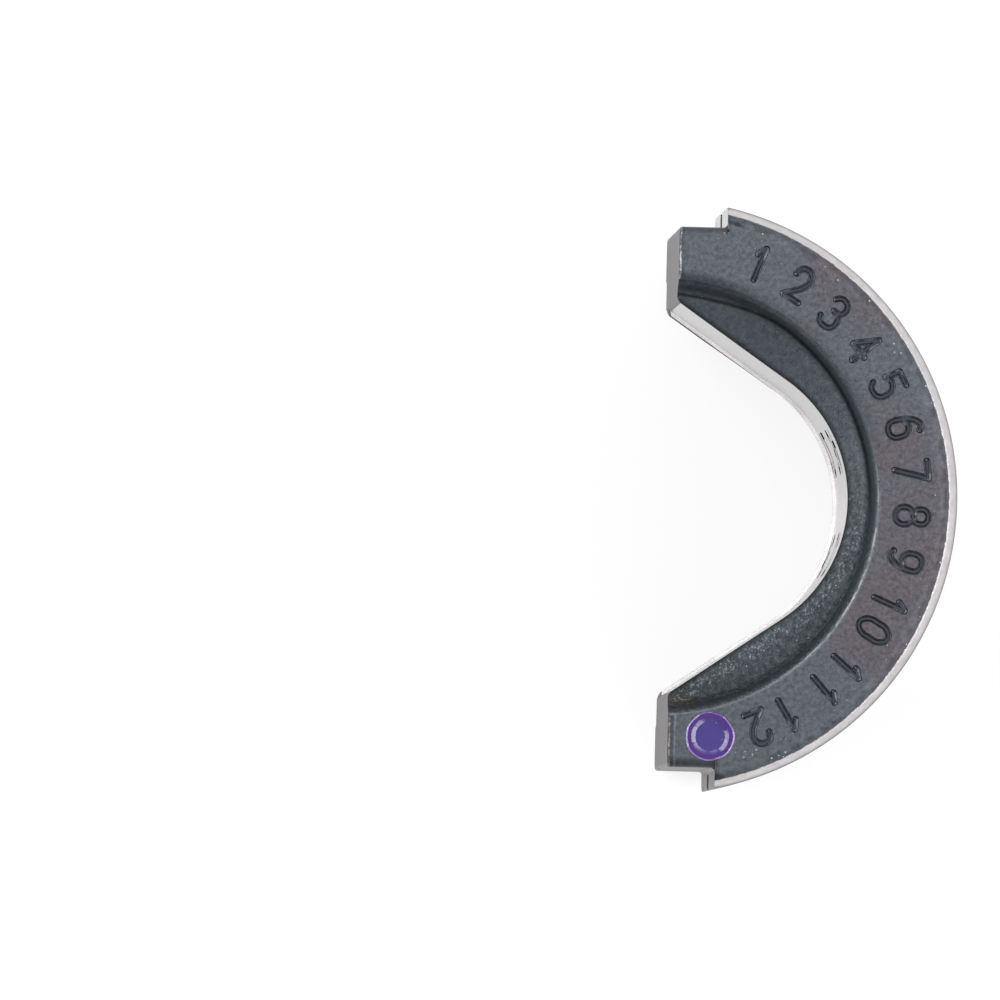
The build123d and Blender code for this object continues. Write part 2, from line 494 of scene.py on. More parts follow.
def recess_tool(s, end_z, inward, rim, draft, slope):
    """The cutter of an end recess, with the rounding of its rim and root."""
    foot = rim - draft
    root_z = end_z + inward * s.recess_depth
    lip, fillet = 0.4, 0.6
    chain = [
        (0, end_z - inward), (rim + lip, end_z - inward), (rim + lip, end_z), (rim, end_z),
        (foot, root_z), (foot - fillet - 0.15, root_z + inward * (fillet + 0.15) * tan(slope)),
        (0, root_z + inward * foot * tan(slope)),
    ]
    bm, verts = wire(chain)
    round_corners(bm, verts, ((3, lip, 5), (4, fillet, 6)))
    bmesh.ops.remove_doubles(bm, verts=bm.verts, dist=1e-4)
    turn(bm, 240, start=radians(0.6))
    return object_from_bmesh(bm, "recess_tool")


def flare_tool(s):
    """The cutter of the lead-in flare round the crimp floor at the plain end."""
    narrow, run = s.crimp_radius - s.lip_height, 0.5
    slope = (s.flare_radius - narrow) / s.flare_length
    low, high = s.recess_depth - run, s.lip_start
    bm, _ = wire([(0, low), (s.flare_radius + slope * run, low), (narrow, high), (0, high)])
    turn(bm, 240, start=radians(0.4))
    bmesh.ops.translate(bm, vec=(s.arc_x, 0, 0), verts=bm.verts)
    return object_from_bmesh(bm, "flare_tool")


def soften(obj, s):
    """Rounds the edges where the crimp profile and the flare break out of the recess floors."""
    bm = bmesh.new()
    bm.from_mesh(obj.data)
    bmesh.ops.remove_doubles(bm, verts=bm.verts, dist=0.004)
    marked, plain = [], []
    for edge in bm.edges:
        if not edge.is_manifold or edge.calc_face_angle(0.0) < radians(35):
            continue
        middle = (edge.verts[0].co + edge.verts[1].co) / 2
        reach = crimp_reach(s, middle.x, middle.y) - s.crimp_radius
        if middle.x < s.land_setback + 0.05:
            continue
        if abs(reach) < 0.3 and s.die_length - 4 < middle.z < s.die_length - 0.5:
            marked.append(edge)
        elif abs(middle.z - s.recess_depth) < 0.03:
            plain.append(edge)
    for edges, width in ((marked, 0.18), (plain, 0.1)):
        if not edges:
            raise RuntimeError("no edge to round was found at a recess floor")
        bevel(bm, edges, width, 3)
    bm.to_mesh(obj.data)
    bm.free()


def stroke(points, radius):
    """A round bar along a smooth line through points, with hemispherical ends."""
    data = bpy.data.curves.new("stroke", "CURVE")
    data.dimensions = "3D"
    data.bevel_depth = radius
    data.bevel_resolution = 3
    data.resolution_u = 5
    closed = points[0] == points[-1]
    spline = data.splines.new("BEZIER")
    wanted = points[:-1] if closed else points
    spline.bezier_points.add(len(wanted) - 1)
    for knot, (x, y) in zip(spline.bezier_points, wanted):
        knot.co = (x, y, 0)
        knot.handle_left_type = knot.handle_right_type = "AUTO"
    spline.use_cyclic_u = closed
    curve = object_from(data, "stroke")
    graph = bpy.context.evaluated_depsgraph_get()
    mesh = bpy.data.meshes.new_from_object(curve.evaluated_get(graph))
    drop(curve)
    bm = bmesh.new()
    bm.from_mesh(mesh)
    bpy.data.meshes.remove(mesh)
    bmesh.ops.remove_doubles(bm, verts=bm.verts, dist=1e-4)
    caps = bmesh.ops.holes_fill(bm, edges=[e for e in bm.edges if e.is_boundary], sides=0)["faces"]
    bmesh.ops.recalc_face_normals(bm, faces=bm.faces)
    for cap in caps:
        round_end(bm, cap, radius)
    return object_from_bmesh(bm, "stroke")


def round_end(bm, cap, radius, steps=4, sweep=radians(84)):
    """Pulls the flat end of a bar out into a dome that sweeps almost a quarter of a turn."""
    outward = cap.normal.copy()
    centre = cap.calc_center_median()
    share, reach = 1.0, 0.0
    for step in range(1, steps + 1):
        angle = step * sweep / steps
        cap, ring = grow(bm, cap)
        bmesh.ops.translate(bm, vec=outward * radius * (sin(angle) - reach), verts=ring)
        reach = sin(angle)
        at = centre + outward * radius * reach
        factor = cos(angle) / share
        bmesh.ops.scale(bm, vec=(factor,) * 3, space=Matrix.Translation(-at), verts=ring)
        share = cos(angle)


def digit(name, width, height, stroke_width):
    """The cutter of one digit, flat on the XY plane with its centre at the origin."""
    wide, tall = width - stroke_width, height - stroke_width
    tool, *others = (
        stroke([((x - 0.5) * wide, (y - 0.5) * tall) for x, y in line], stroke_width / 2)
        for line in DIGITS[name]
    )
    for bar in others:
        combine(tool, bar, "UNION")
    return tool


def merge_tools(tools):
    """One cutter from several that don't touch each other, which leaves faces with the mark's slot."""
    bm = bmesh.new()
    for tool in tools:
        bm.from_mesh(tool.data)
        drop(tool)
    for face in bm.faces:
        face.material_index = STAMPED_MARK
    return object_from_bmesh(bm, "marks")


def ring_marks(s, m):
    """The cutters of the numbers round the marked end face, tops outwards, read clockwise."""
    first, last, gap = radians(68.5), radians(-65.8), 0.42
    placed, run = [], 0.0
    for sign in m.ring_numbers:
        if sign == " ":
            run += gap
        else:
            placed.append((sign, run))
            run += 1.0
    pitch = (last - first) / placed[-1][1]
    tools = []
    # Each number stands a little askew, as if stamped by hand
    for i, (sign, at) in enumerate(placed):
        tool = digit(sign, m.ring_width, m.ring_height, m.ring_stroke)
        sink = RING_SINK + 0.02 - 0.02 * sin(2.4 * i)
        out = Matrix.Translation((m.ring_radius + 0.06 * sin(1.7 * i), 0, s.die_length - sink))
        upright = Matrix.Rotation(-pi / 2, 4, "Z")
        leaning = (
            Matrix.Rotation(radians(1.6) * sin(3.1 * i), 4, "Y")
            @ Matrix.Rotation(radians(1.2) * cos(1.3 * i), 4, "X")
        )
        tool.data.transform(Matrix.Rotation(first + pitch * at, 4, "Z") @ out @ upright @ leaning)
        tools.append(tool)
    return merge_tools(tools)


def floor_marks(s, m):
    """The cutters of the mirrored numbers in the crimp floor, in two rows that face each other."""
    sunk = s.crimp_radius + FLOOR_SINK
    # Each row's direction from the middle of the arc, and the places of its numbers along Z
    row_angle = radians(21.1)
    centres = (24.9, 21.25, 11.95, 8.35)
    tools = []
    for row in (-1, 1):
        for sign, z in zip(m.floor_numbers, centres[::-row]):
            tool = digit(sign, m.floor_width, m.floor_height, m.floor_stroke)
            for vert in tool.data.vertices:
                across, up, out = vert.co
                around, reach = row * (row_angle - up / s.crimp_radius), sunk + out
                vert.co = (s.arc_x + reach * cos(around), reach * sin(around), z + row * across)
            tools.append(tool)
    return merge_tools(tools)


def die_steel(s, m, d):
    """The finished steel body, in millimetres. Faces cut by a number have the mark's slot."""
    body = turned_blank(s)
    for piece in (ledge_block(s), ledge_root(s, -1), ledge_root(s, 1)):
        combine(body, piece, "UNION")
    for tool in (
        crimp_tool(s),
        recess_tool(s, s.die_length, -1, s.marked_rim, draft=0.5, slope=s.marked_slope),
        recess_tool(s, 0, 1, s.plain_rim, draft=0.3, slope=0.0),
        flare_tool(s),
        spot_tool(s, d),
    ):
        combine(body, tool, "DIFFERENCE")
    soften(body, s)
    for marks in (ring_marks(s, m), floor_marks(s, m)):
        combine(body, marks, "DIFFERENCE")
    return body


def crimp_reach(s, x, y):
    """How far out a point lies from the crimp floor's axis, along the arc's and wings' normals."""
    across, side, wing = x - s.arc_x, abs(y), s.wing_angle
    if across > 0 and side * tan(wing) < across:
        return hypot(across, side)
    return across * sin(wing) + side * cos(wing)


def finish_of(s, centre, normal):
    """Which finish a face of the body has, from its place and direction."""
    marked = centre.z > s.die_length / 2
    depth, rim = (s.die_length - centre.z, s.marked_rim) if marked else (centre.z, s.plain_rim)
    from_axis = hypot(centre.x, centre.y)
    reach = crimp_reach(s, centre.x, centre.y) - s.crimp_radius
    if normal.x < -0.2 and centre.x < s.land_setback + 0.22:
        return GROUND_LAND
    if abs(normal.z) > 0.95 and depth < 0.1:
        return STAMPED_END
    if depth < s.end_round and from_axis > s.nest_radius - s.end_round - 0.15 and normal.x > -0.9:
        return STAMPED_END
    beside = abs(centre.y) > s.ledge_half - s.ledge_corner - 0.05 and centre.x < s.shoulder + 0.1
    if depth < s.ledge_corner and beside:
        return STAMPED_END if normal.x > -0.9 else TURNED_BACK
    if depth < s.recess_depth + 0.02 and rim - 1.3 < from_axis < rim + 0.5 and abs(normal.z) < 0.97:
        return CAST_RECESS
    if normal.z > 0.5 and -0.35 < reach < 0.2 and abs(centre.z - s.floor_start) < 0.2:
        return LEAD_IN
    if abs(normal.z) < 0.3 and abs(reach) < 0.35:
        on_wing = abs(centre.y) > s.crimp_radius * cos(s.wing_angle)
        shiny = s.floor_start + 0.05 if on_wing else s.recess_depth
        return CRIMP_BORE if centre.z > shiny else CAST_RECESS
    if not marked and 0.45 < abs(normal.z) < 0.85 and reach < 2.0 and depth < 5.5:
        return LEAD_IN if depth < s.lip_start else CRIMP_BORE
    if from_axis < rim + 0.5 and abs(normal.z) > 0.3:
        return CAST_RECESS
    return TURNED_BACK


def dress(obj, finishes, slots=None):
    """Gives an object its finishes, face by face, and shades it smooth up to its real edges."""
    bm = bmesh.new()
    bm.from_mesh(obj.data)
    for edge in bm.edges:
        edge.smooth = edge.is_manifold and edge.calc_face_angle(0.0) < SHARP_TURN
    for face in bm.faces:
        face.smooth = True
    bmesh.ops.scale(bm, vec=(1 / MM,) * 3, verts=bm.verts)
    bm.to_mesh(obj.data)
    bm.free()
    obj.data.materials.clear()
    for finish in finishes:
        obj.data.materials.append(finish)
    if slots:
        obj.data.polygons.foreach_set("material_index", slots)
    weighted = obj.modifiers.new("even_normals", "WEIGHTED_NORMAL")
    weighted.keep_sharp = True
    weighted.mode = "FACE_AREA_WITH_ANGLE"


def maths(operation, swapped=False):
    """A method of Field that adds a Math node, with its values swapped where the field comes second."""
    def method(field, *others):
        values = (*others, field) if swapped else (field, *others)
        return field.finish.math(operation, *values)
    return method


class Field:
    """A value that varies over a surface; arithmetic on it adds Math nodes."""

    def __init__(self, finish, socket):
        self.finish = finish
        self.socket = socket

    __add__ = __radd__ = maths("ADD")
    __mul__ = __rmul__ = maths("MULTIPLY")
    __sub__, __rsub__ = maths("SUBTRACT"), maths("SUBTRACT", swapped=True)
    __truediv__ = maths("DIVIDE")
    __pow__, __abs__ = maths("POWER"), maths("ABSOLUTE")


class Finish:
    """A material under construction, and the place on the surface in millimetres."""

    def __init__(self, name, tree=None):
        if tree is None:
            self.material = bpy.data.materials.new(name)
            self.material.use_nodes = True
            tree = self.material.node_tree
        self.tree = tree
        tree.nodes.clear()

    def node(self, kind, settings=None, sockets=None, output=0):
        """Adds a node: its settings first, then the values or links of its sockets."""
        node = self.tree.nodes.new(kind)
        for key, value in (settings or {}).items():
            setattr(node, key, value)
        for key, value in (sockets or {}).items():
            if isinstance(value, Field):
                self.tree.links.new(value.socket, node.inputs[key])
            else:
                node.inputs[key].default_value = value
        return Field(self, node.outputs[output]) if len(node.outputs) else None

    def math(self, operation, *values):
        return self.node("ShaderNodeMath", {"operation": operation}, dict(enumerate(values)))

    def place(self, x=1.0, y=1.0, z=1.0):
        """The point on the object in millimetres, stretched by a factor along each axis."""
        point = self.node("ShaderNodeTexCoord", output="Object")
        factors = (x * MM, y * MM, z * MM)
        return self.node("ShaderNodeVectorMath", {"operation": "MULTIPLY"}, {0: point, 1: factors})

    def axes(self):
        """The X, Y and Z of the point on the object in millimetres."""
        split = self.node("ShaderNodeSeparateXYZ", sockets={0: self.place()})
        return [Field(self, socket) for socket in split.socket.node.outputs]

    def noise(self, scale, detail=2.0, roughness=0.5, at=None):
        """Cloudy noise round 0.5, with about that many blots to the millimetre."""
        return self.node("ShaderNodeTexNoise", sockets={
            "Vector": at or self.place(), "Scale": scale, "Detail": detail, "Roughness": roughness,
        })

    def specks(self, scale, radius, share):
        """Round specks on a loose grid of that many cells to the millimetre, in a share of the cells."""
        cells = self.node("ShaderNodeTexVoronoi", sockets={"Vector": self.place(), "Scale": scale})
        shade = Field(self, cells.socket.node.outputs["Color"])
        chance = self.node("ShaderNodeSeparateColor", sockets={0: shade})
        inside = 1 - self.step(cells, radius * scale * 0.5, radius * scale)
        return inside * self.step(chance, 1 - share, 1.02 - share)

    def step(self, value, low, high):
        """Rises smoothly from 0 to 1 while a value goes from low to high."""
        return self.node("ShaderNodeMapRange", {"interpolation_type": "SMOOTHSTEP"}, {
            "Value": value, "From Min": low, "From Max": high,
        })

    def near(self, value, middle, width):
        """1 where a value is at the middle, falling to 0 a width away."""
        return 1 - self.step(abs(value - middle), 0.0, width)

    def blob(self, x, y, centre_x, centre_y, reach_x, reach_y):
        """1 in the middle of an ellipse, falling to 0 at its edge."""
        across, up = (x - centre_x) / reach_x, (y - centre_y) / reach_y
        return 1 - self.step(across * across + up * up, 0.25, 1.0)

    def mix(self, share, first, second):
        """Blends two colours."""
        first, second = (c if isinstance(c, Field) else (*c, 1.0) for c in (first, second))
        return self.node("ShaderNodeMix", {"data_type": "RGBA"}, {0: share, 6: first, 7: second}, output=2)

    def lit(self, shade, factor):
        """Makes a colour lighter or darker by a factor."""
        return self.node("ShaderNodeVectorMath", {"operation": "SCALE"}, {0: shade, "Scale": factor})

    def relief(self, height):
        """The surface normal of a fine relief whose height is in millimetres."""
        return self.node("ShaderNodeBump", sockets={"Height": height, "Distance": 1 / MM})

    def surface(self, sockets):
        """Ends the material in a Principled surface, and returns the material."""
        shader = self.node("ShaderNodeBsdfPrincipled", sockets=sockets)
        self.node("ShaderNodeOutputMaterial", sockets={"Surface": shader})
        return self.material


def steel(f, base, roughness, height, glance=1.0):
    """Ends a material as oxidised steel, whose shine at a glancing angle may be dulled."""
    return f.surface({
        "Base Color": base, "Metallic": 1.0, "Specular Tint": (glance, glance, glance, 1.0),
        "Roughness": roughness, "Normal": f.relief(height),
    })


def grain_of(f, coarse=3.2, fine=11.0):
    """Two scales of grain, as factors round 1."""
    large = f.noise(coarse, detail=4.0, roughness=0.62)
    small = f.noise(fine, detail=2.0, roughness=0.6)
    return large, small


def at_ends(f, s, x, y, z):
    """The distance from the nest axis, the depth below the nearer end, and 1 on the marked half."""
    middle = s.die_length / 2
    depth = f.math("MINIMUM", z, s.die_length - z)
    return (x * x + y * y) ** 0.5, depth, f.step(z, middle - 1, middle + 1)


def end_finish(c, s):
    """The stamped end faces: fine matt grain clouded with plum; the bright stripe round the outer rim is
    wear and a painted highlight, and painted shade lies on the rounding, beside the ledges and along the
    recess rim.
    """
    f = Finish("stamped_end")
    x, y, z = f.axes()
    outer, half = s.nest_radius, s.ledge_half
    from_axis, depth, marked = at_ends(f, s, x, y, z)
    large, small = grain_of(f)
    uneven = f.noise(1.3, detail=3.0)
    lower = 1 - f.step(y, -16.0, -8.0)
    plum = f.step(f.noise(0.14, detail=3.0) * 0.9 + x * 0.022 - lower * 0.08, 0.62, 0.86)
    # Painted shade: darker patches on the outer rounding, just inside the bright stripe
    dull = f.near(from_axis, outer - 0.92, 0.42) * f.step(uneven, 0.38, 0.62)
    # Painted shade along the rounded corners beside the ledges, darker on the lower side
    ledge = f.step(abs(y) + (large - 0.5) * 0.3, half - 0.85, half - 0.4)
    ledge *= 1 - f.step(x, s.shoulder - 0.2, s.shoulder + 0.5)
    smudge = f.blob(x, y + (x - 4.83) * 0.32, 4.83, 19.45, 0.8, 0.18)
    smudge += f.blob(x, y, 4.6, -19.9, 0.5, 0.4)
    from_edge = x - s.land_setback + (uneven - 0.5) * 0.16
    # Painted shade where the end face falls away to the marked recess's rim, on the upper half and most near
    # the open side
    sunk = f.step(y, 0.0, 6.0) * (0.2 + (1 - f.step(x, 3.0, 9.0)) * 0.35)
    # Painted shade: the outer rounding is darkened all round, which also tempers the lamps' highlight on it
    shaded_rounding = f.step(from_axis, outer - 1.5, outer - 0.7)
    shade = (large * 1.25 + small * 0.85 - 0.05) * (1 - dull * 0.35) * (1 - smudge * 0.5)
    shade *= 1 - ledge * (0.4 + lower * 0.2)
    shade *= 1 - f.near(from_edge, 0.3, 0.2) * (0.2 + lower * 0.12)
    shade *= 1 - f.near(from_axis, s.marked_rim + 0.3, 0.75) * sunk
    shade *= (1 - lower * 0.08) * (1 - shaded_rounding * 0.3)
    # The bright stripe round the outer rim is wear and a painted highlight of the rounding, stronger on the
    # marked end
    edge = outer - 0.5 - x * 0.006 + (uneven - 0.5) * 0.1 + (large - 0.5) * 0.16
    strip = f.step(from_axis - edge, -0.05, 0.05) * (1 - f.step(depth, 0.7, 1.5)) * (0.45 + marked * 0.55)
    speck = f.specks(2.2, 0.07, 0.3) * f.step(from_axis, outer - 3.4, outer - 0.9)
    speck += f.specks(3.1, 0.07, 0.75) * f.blob(x, y, 8.6, -18.2, 3.6, 1.5) * (1 - speck)
    wear_and_highlight = strip * (0.55 + uneven * 0.5) + f.near(from_edge, 0.5, 0.1) * lower * marked * uneven * 0.2
    base = f.lit(f.mix(plum, c.end_grey, c.end_plum), shade)
    base = f.mix(wear_and_highlight + (1 - wear_and_highlight) * speck * 0.6, base, c.wear_and_highlight)
    base = f.mix(f.step(depth, 1.25, 1.6), base, c.back)
    roughness = 0.36 + large * 0.2 + shaded_rounding * (1 - strip) * 0.15 - strip * 0.16
    return steel(f, base, roughness, large * 0.016 + small * 0.008)


def cast_finish(c, s):
    """The unmachined recesses: dark oxide over a grainy forged skin, with painted shade at the walls, their
    feet and the crimp edge, and painted highlights along the rim and in the floor.
    """
    f = Finish("cast_recess")
    x, y, z = f.axes()
    lumps = f.noise(1.1, detail=2.0)
    large, small = grain_of(f, 2.6, 6.5)
    from_crimp = crimp_distance(f, s, x, y)
    # Painted shade: the cast skin is blackened along the edge to the crimp profile, in place of a rounded
    # edge
    edge = f.near(from_crimp, 0.0, 0.5)
    from_axis, depth, upper = at_ends(f, s, x, y, z)
    from_rim = from_axis - s.plain_rim - upper * (s.marked_rim - s.plain_rim)
    high = f.step(y, -6.0, 5.0)
    low = 1 - high
    open_end = (1 - f.step(x, 3.0, 9.0)) * upper
    # Painted shade darkens the walls of the marked recess; the walls of the plain recess are made lighter
    wall = f.near(from_rim, -0.4, 0.75) * f.step(depth, 0.0, 0.9)
    foot = f.near(depth, s.recess_depth - 0.04, 0.16) * f.near(from_rim, -0.7, 0.6)
    foot *= f.step(lumps, 0.4, 0.55)
    # Painted shadow: a dark line at the foot of the walls, set further in near the open side of the marked
    # recess and faint in the lower half
    line = f.near(from_rim + open_end * high * 0.42, -0.44, 0.22) * f.step(depth, 0.9, 1.3)
    # Painted shade on the floor of the marked recess next to the foot of its wall, in the lower half, fading
    # out within about 3 mm
    floor = f.step(from_rim, -3.2, -0.5) * (1 - f.step(from_rim, -0.62, -0.46))
    shade = large * (1.2 + low * 0.5) + small * (0.9 + low * 0.4) - 0.05 - low * 0.45
    shade *= (1 - edge * 0.65) * (1 + wall * (0.1 - upper * 0.2)) * (1 - line * (0.7 - low * 0.65))
    shade *= 1 - floor * low * upper * 0.42
    # Painted shade on the rounding of the rim in the upper half, strongest near the open side
    shade *= 1 - f.near(from_rim, 0.12, 0.24) * high * (0.08 + open_end * 0.4)
    lip = f.step(from_rim, 0.1, 0.2) * upper * low
    base = f.mix(lip * 0.8, f.lit(c.cast, shade), f.lit(c.end_grey, large * 1.25 + small * 0.85 - 0.05))
    base = f.mix(foot * (0.55 - upper * 0.51), base, c.ochre)
    base = f.mix(f.blob(x, y, 1.7, -14.5, 1.2, 0.7) * upper * 0.12, base, c.ochre)
    # Painted highlights: glints in the lower half of the floor, most next to the crimp edge, and a bright
    # line along the rim of the marked recess low down
    glint = f.step(small + large * 0.5, 0.78, 1.0) * low * (1 - f.step(from_rim, -0.9, -0.2)) * (1 - edge)
    rim_highlight = f.near(from_rim, 0.14, 0.09) * (1 - f.step(y, -3.0, 5.0)) * f.step(y, -14.5, -10.0)
    wear_and_highlight = f.specks(2.6, 0.06, 0.3) * (0.12 + low * 0.16) + rim_highlight * f.step(lumps, 0.3, 0.55) * upper * 0.22
    wear_and_highlight += f.specks(0.45, 0.13, 0.3) * f.near(from_rim, 0.2, 0.5) * 0.5
    wear_and_highlight += glint * (0.03 + f.near(from_crimp, 0.75, 0.75) * 0.2)
    skin = lumps * 0.05 + large * (0.06 + low * 0.04) + small * 0.03
    return steel(f, f.mix(wear_and_highlight, base, c.wear_and_highlight), 0.4 + small * 0.25, skin, glance=0.65)


def crimp_distance(f, s, x, y):
    """How far out of the crimp profile a point on a surface lies, in millimetres."""
    across, side, wing = x - s.arc_x, abs(y), s.wing_angle
    straight = across * sin(wing) + side * cos(wing)
    bent = (across * across + side * side) ** 0.5
    in_arc = f.step(across - side * tan(wing), 0.0, 0.02)
    return straight + in_arc * (bent - straight) - s.crimp_radius


def lead_in_finish(c, s):
    """The lead-in flare: turned grey, streaked round the arc; the step behind the lip is brighter."""
    f = Finish("lead_in_flare")
    *_, z = f.axes()
    streak = f.noise(1.0, detail=4.0, at=f.place(0.5, 0.5, 7.0))
    large, small = grain_of(f)
    tint = f.mix(f.step(z, s.floor_start - 0.4, s.floor_start - 0.3), c.lead_in, c.wear_and_highlight)
    base = f.lit(tint, 0.2 + streak * 0.8 + small * 0.8)
    return steel(f, base, 0.34 + large * 0.15, streak * 0.006 + small * 0.004)


def bore_finish(c, s):
    """The crimp floor: smooth black oxide, streaked round the arc, with a painted reflection along its
    middle in the oxide's brown tint.
    """
    f = Finish("crimp_bore")
    _, y, z = f.axes()
    streak = f.noise(1.0, detail=4.0, roughness=0.7, at=f.place(0.3, 0.3, 7.0))
    fine = f.noise(1.0, detail=3.0, roughness=0.6, at=f.place(0.5, 0.5, 13.0))
    small = f.noise(7.0, detail=2.0)
    patch = f.noise(1.0, detail=3.0, at=f.place(0.2, 0.2, 0.45))
    groove = f.near(z, (s.floor_start + s.relief_end) / 2, s.relief_width * 0.6)
    # Painted reflection: a lighter stripe along the middle of the floor in the oxide's brown tint
    reflection_band = f.near(y, -1.9, 6.4)
    brown = f.step(reflection_band * 0.9 + streak * 0.4 + patch * 0.3, 0.72, 1.2) * (1 - groove * 0.9)
    worn_end = f.step(z, 25.0, 31.0)
    shade = fine * 1.05 + small * 0.6 + patch * 0.5 + worn_end * (small - 0.4) * 0.8
    # Painted shade just above the reflection, which softens its upper edge
    shade *= (1 - groove * 0.45) * (1 - f.near(y, 2.3, 3.6) * 0.42)
    shade *= 1 - f.step(f.noise(5.0, detail=3.0), 0.54, 0.68) * 0.35
    rough_edge = f.near(z, s.relief_end, 0.35) * f.specks(4.5, 0.07, 0.6)
    speck = f.specks(3.4, 0.06, 0.35) * (0.15 + worn_end * 0.7)
    base = f.mix(brown, f.mix(groove * 0.6, c.bore_dark, c.cast), c.bore)
    base = f.mix(speck * 0.4 + rough_edge * 0.4, f.lit(base, shade), c.wear_and_highlight)
    return f.surface({
        "Base Color": base, "Metallic": 0.65, "Roughness": 0.24 + streak * 0.12 + small * 0.05,
        "IOR": 1.3, "Coat Weight": 0.7, "Coat IOR": 1.3, "Coat Roughness": 0.13,
        "Normal": f.relief(streak * 0.006 + fine * 0.005),
    })


def land_finish(c, s):
    """The lands: ground grey with temper colours, speckled, bright with wear along their edges; painted
    shade darkens them at their ends and on their lower half.
    """
    f = Finish("ground_land")
    _, y, z = f.axes()
    large, small = grain_of(f, 3.6, 9.0)
    brown = f.step(f.noise(0.2, detail=5.0, roughness=0.65), 0.46, 0.66)
    blue = f.step(f.noise(0.16, detail=4.0) * 0.7 + z * 0.008, 0.52, 0.74)
    tint = f.mix(blue * 0.75, f.mix(brown * 0.6, c.land, c.land_brown), c.land_blue)
    wear = f.step(f.noise(1.5, detail=4.0, roughness=0.7), 0.42, 0.66)
    outer = f.step(abs(y), s.ledge_half - 0.4, s.ledge_half - 0.12)
    ends = f.near(abs(z - s.die_length / 2), s.die_length / 2, 0.3)
    speck = f.specks(3.4, 0.07, 0.5) * f.step(large, 0.42, 0.62)
    ground = f.noise(1.0, detail=3.0, at=f.place(0.12, 0.12, 0.5))
    shade = large * 1.3 + small * 1.5 + ground * 0.7 - 0.75
    # Painted shade: the ends of the lands are darkened to temper the lamps' highlight there, and the lower
    # half is darker
    shade *= (1 - ends * 0.45) * (1 - outer * 0.2) * (0.84 + f.step(y, -8.0, 8.0) * 0.16)
    wear_and_highlight = wear * (outer * 0.5 + ends * (0.2 + f.step(y, -6.0, 6.0) * 0.25))
    base = f.mix(speck * 0.3 + wear_and_highlight, f.lit(tint, shade), c.wear_and_highlight)
    return steel(f, base, 0.3 + large * 0.18, large * 0.016 + small * 0.012, glance=0.8)


def back_finish(c, s):
    """The turned back and the shoulders: dark red-brown oxide with fine turning lines."""
    f = Finish("turned_back")
    x, y, z = f.axes()
    lines = f.noise(1.0, detail=4.0, roughness=0.65, at=f.place(0.12, 0.12, 6.0))
    large, small = grain_of(f)
    blots = f.step(f.noise(0.6, detail=5.0, roughness=0.7), 0.5, 0.64)
    pits = f.step(f.noise(3.0, detail=3.0, roughness=0.7), 0.52, 0.64)
    from_axis = (x * x + y * y) ** 0.5
    from_groove = abs(z - s.die_length / 2) - s.groove_width / 2
    sunk = 1 - f.step(from_axis, s.nest_radius - 0.5, s.nest_radius - 0.1)
    # Painted shade in the retaining groove, darkest near its walls
    groove_shade = sunk * f.near(from_groove, 0.0, 2.2) * f.step(x, s.shoulder + 0.05, s.shoulder + 0.3)
    lip = f.near(from_groove, 0.18, 0.16) * f.step(f.noise(1.4, detail=3.0), 0.44, 0.6) * (1 - sunk)
    scorch = f.blob(z, y, 4.2, s.nest_radius - 0.95, 1.6, 0.3) * f.near(x, s.shoulder, 0.3)
    flat = f.near(x, s.shoulder, 0.2)
    streak = (f.noise(1.0, detail=3.0, at=f.place(0.3, 0.3, 0.5)) - 0.5) * flat
    shade = (0.3 + lines * 0.85 + small * 0.55 + streak * 1.6) * (1 - blots * 0.3) * (1 - pits * 0.4)
    shade *= (1 - scorch * 0.6) * (1 - groove_shade * 0.55)
    base = f.mix(f.specks(2.0, 0.06, 0.25) * 0.3 + lip * 0.45, f.lit(c.back, shade), c.wear_and_highlight)
    upper = f.step(y, -1.0, 1.0)
    beside = 1 - f.step(x, s.shoulder + 0.1, s.shoulder + 0.3)
    dull = beside * (1 - upper) * 0.1 - flat * upper * 0.14
    return steel(f, base, 0.2 + large * 0.18 + dull, lines * 0.006 + small * 0.005 - pits * 0.004)


def mark_finish(c, s):
    """The numbers: dark oxide that wear doesn't reach, with painted shade that makes them blackest up the
    sides of the strokes and darker in the crimp floor.
    """
    f = Finish("stamped_mark")
    x, y, z = f.axes()
    large, small = grain_of(f)
    sunk = f.math("MINIMUM", s.die_length - z, abs(crimp_distance(f, s, x, y)))
    # Painted shade: darkest up the sides of the strokes, and darker for the numbers in the crimp floor
    side = 1 - f.step(sunk, 0.1, 0.24)
    in_bore = f.step(s.die_length - z, 2.0, 4.0)
    base = f.lit(c.mark, (0.3 + large * 0.8 + small * 0.6) * (1 - side * 0.6) * (1 - in_bore * 0.45))
    return steel(f, base, 0.3 + large * 0.16, small * 0.006)


def enamel_finish(c, s, d):
    """The dot's enamel: glossy violet, redder at its rim, with a few dust specks."""
    f = Finish("violet_enamel")
    x, y, _ = f.axes()
    centre_x, centre_y = dot_centre(s, d)
    dx, dy = x - centre_x, y - centre_y
    from_centre = (dx * dx + dy * dy) ** 0.5
    rim = f.step(from_centre, 1.1, 1.4)
    # The lighter violet round the dot's edge is the enamel lapping out to nothing, plus a painted highlight
    # that makes it brightest on the lower side
    thin_and_lit_edge = f.step(from_centre, 1.62, 1.72) * (0.8 - f.step(dy, 0.2, 1.3) * 0.7)
    cloud = f.noise(0.9, detail=2.0)
    base = f.lit(f.mix(rim, c.enamel, c.enamel_rim), 0.8 + cloud * 0.4)
    base = f.mix(thin_and_lit_edge, base, c.enamel_edge)
    return f.surface({
        "Base Color": f.mix(f.specks(1.6, 0.05, 0.5) * 0.5, base, c.wear_and_highlight), "Roughness": 0.08 + cloud * 0.05,
        "IOR": 1.42, "Coat Weight": 0.15, "Coat Roughness": 0.04,
        "Normal": f.relief(f.noise(1.2, detail=1.0) * 0.003),
    })


